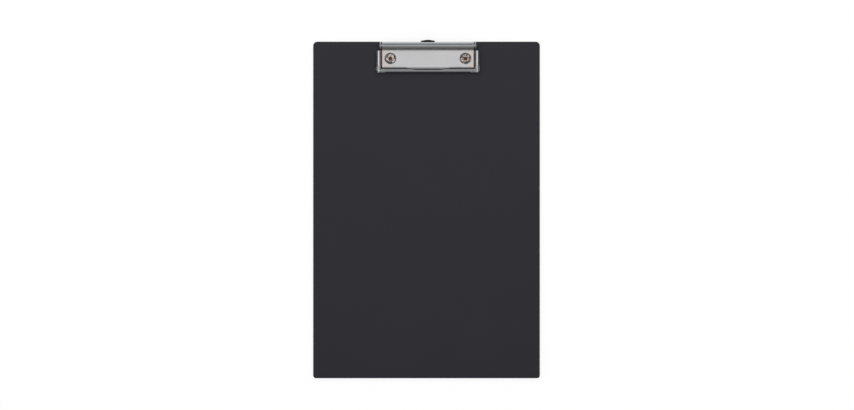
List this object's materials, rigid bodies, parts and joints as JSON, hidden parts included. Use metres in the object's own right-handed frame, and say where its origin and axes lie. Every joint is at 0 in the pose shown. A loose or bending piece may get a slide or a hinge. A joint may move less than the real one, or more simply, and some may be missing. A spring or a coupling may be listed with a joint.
{
  "type": "clipboard",
  "caption": "Flat film-covered clipboard with a sprung metal bow clip at its top edge and a slide-out hanging tab under the clip.",
  "frame": {"origin": "centre of the board's back face, the flat face that the board lies on", "axes": "+Y along the board to the clip end, +Z out of the writing face, +X to the right when the clip is at the top"},
  "size_m": [0.229, 0.3413, 0.0116],
  "materials": {
    "greyboard": "matt grey board",
    "cover_film": "matt charcoal film with a fine grain",
    "lining": "matt charcoal sheet",
    "nickel_sheet": "nickel-plated sheet steel, satin on the land, bright on the barrel and bow",
    "steel_pin": "plain steel rod",
    "spring_steel": "spring wire",
    "clear_plastic": "clear moulded plastic",
    "rivet_metal": "nickel-plated rivet with a coppery bore",
    "black_plastic": "black moulded plastic"
  },
  "bodies": {
    "board": {"board_core": "greyboard", "front_cover": "cover_film", "back_lining": "lining", "clip_base": "nickel_sheet", "rivet_left": "rivet_metal", "rivet_right": "rivet_metal", "spring_left": "spring_steel", "spring_right": "spring_steel"},
    "bow": {"clip_bow": "nickel_sheet", "hinge_pin": "steel_pin", "corner_guard_left": "clear_plastic", "corner_guard_right": "clear_plastic"},
    "hanger": {"hanger_tab": "black_plastic"}
  },
  "joints": [
    {"name": "bow_hinge", "type": "hinge", "parent": "board", "child": "bow", "pos_m": [0.0014, 0.1653, 0.0074], "axis": [-1, 0, 0], "range_deg": [0, 75], "stiffness_Nm_per_rad": 0.138, "springref_deg": -80.21, "deforming": ["spring_left", "spring_right"]},
    {"name": "hanger_slide", "type": "slide", "parent": "board", "child": "hanger", "axis": [0, 1, 0], "range_m": [0, 0.0135]}
  ]
}
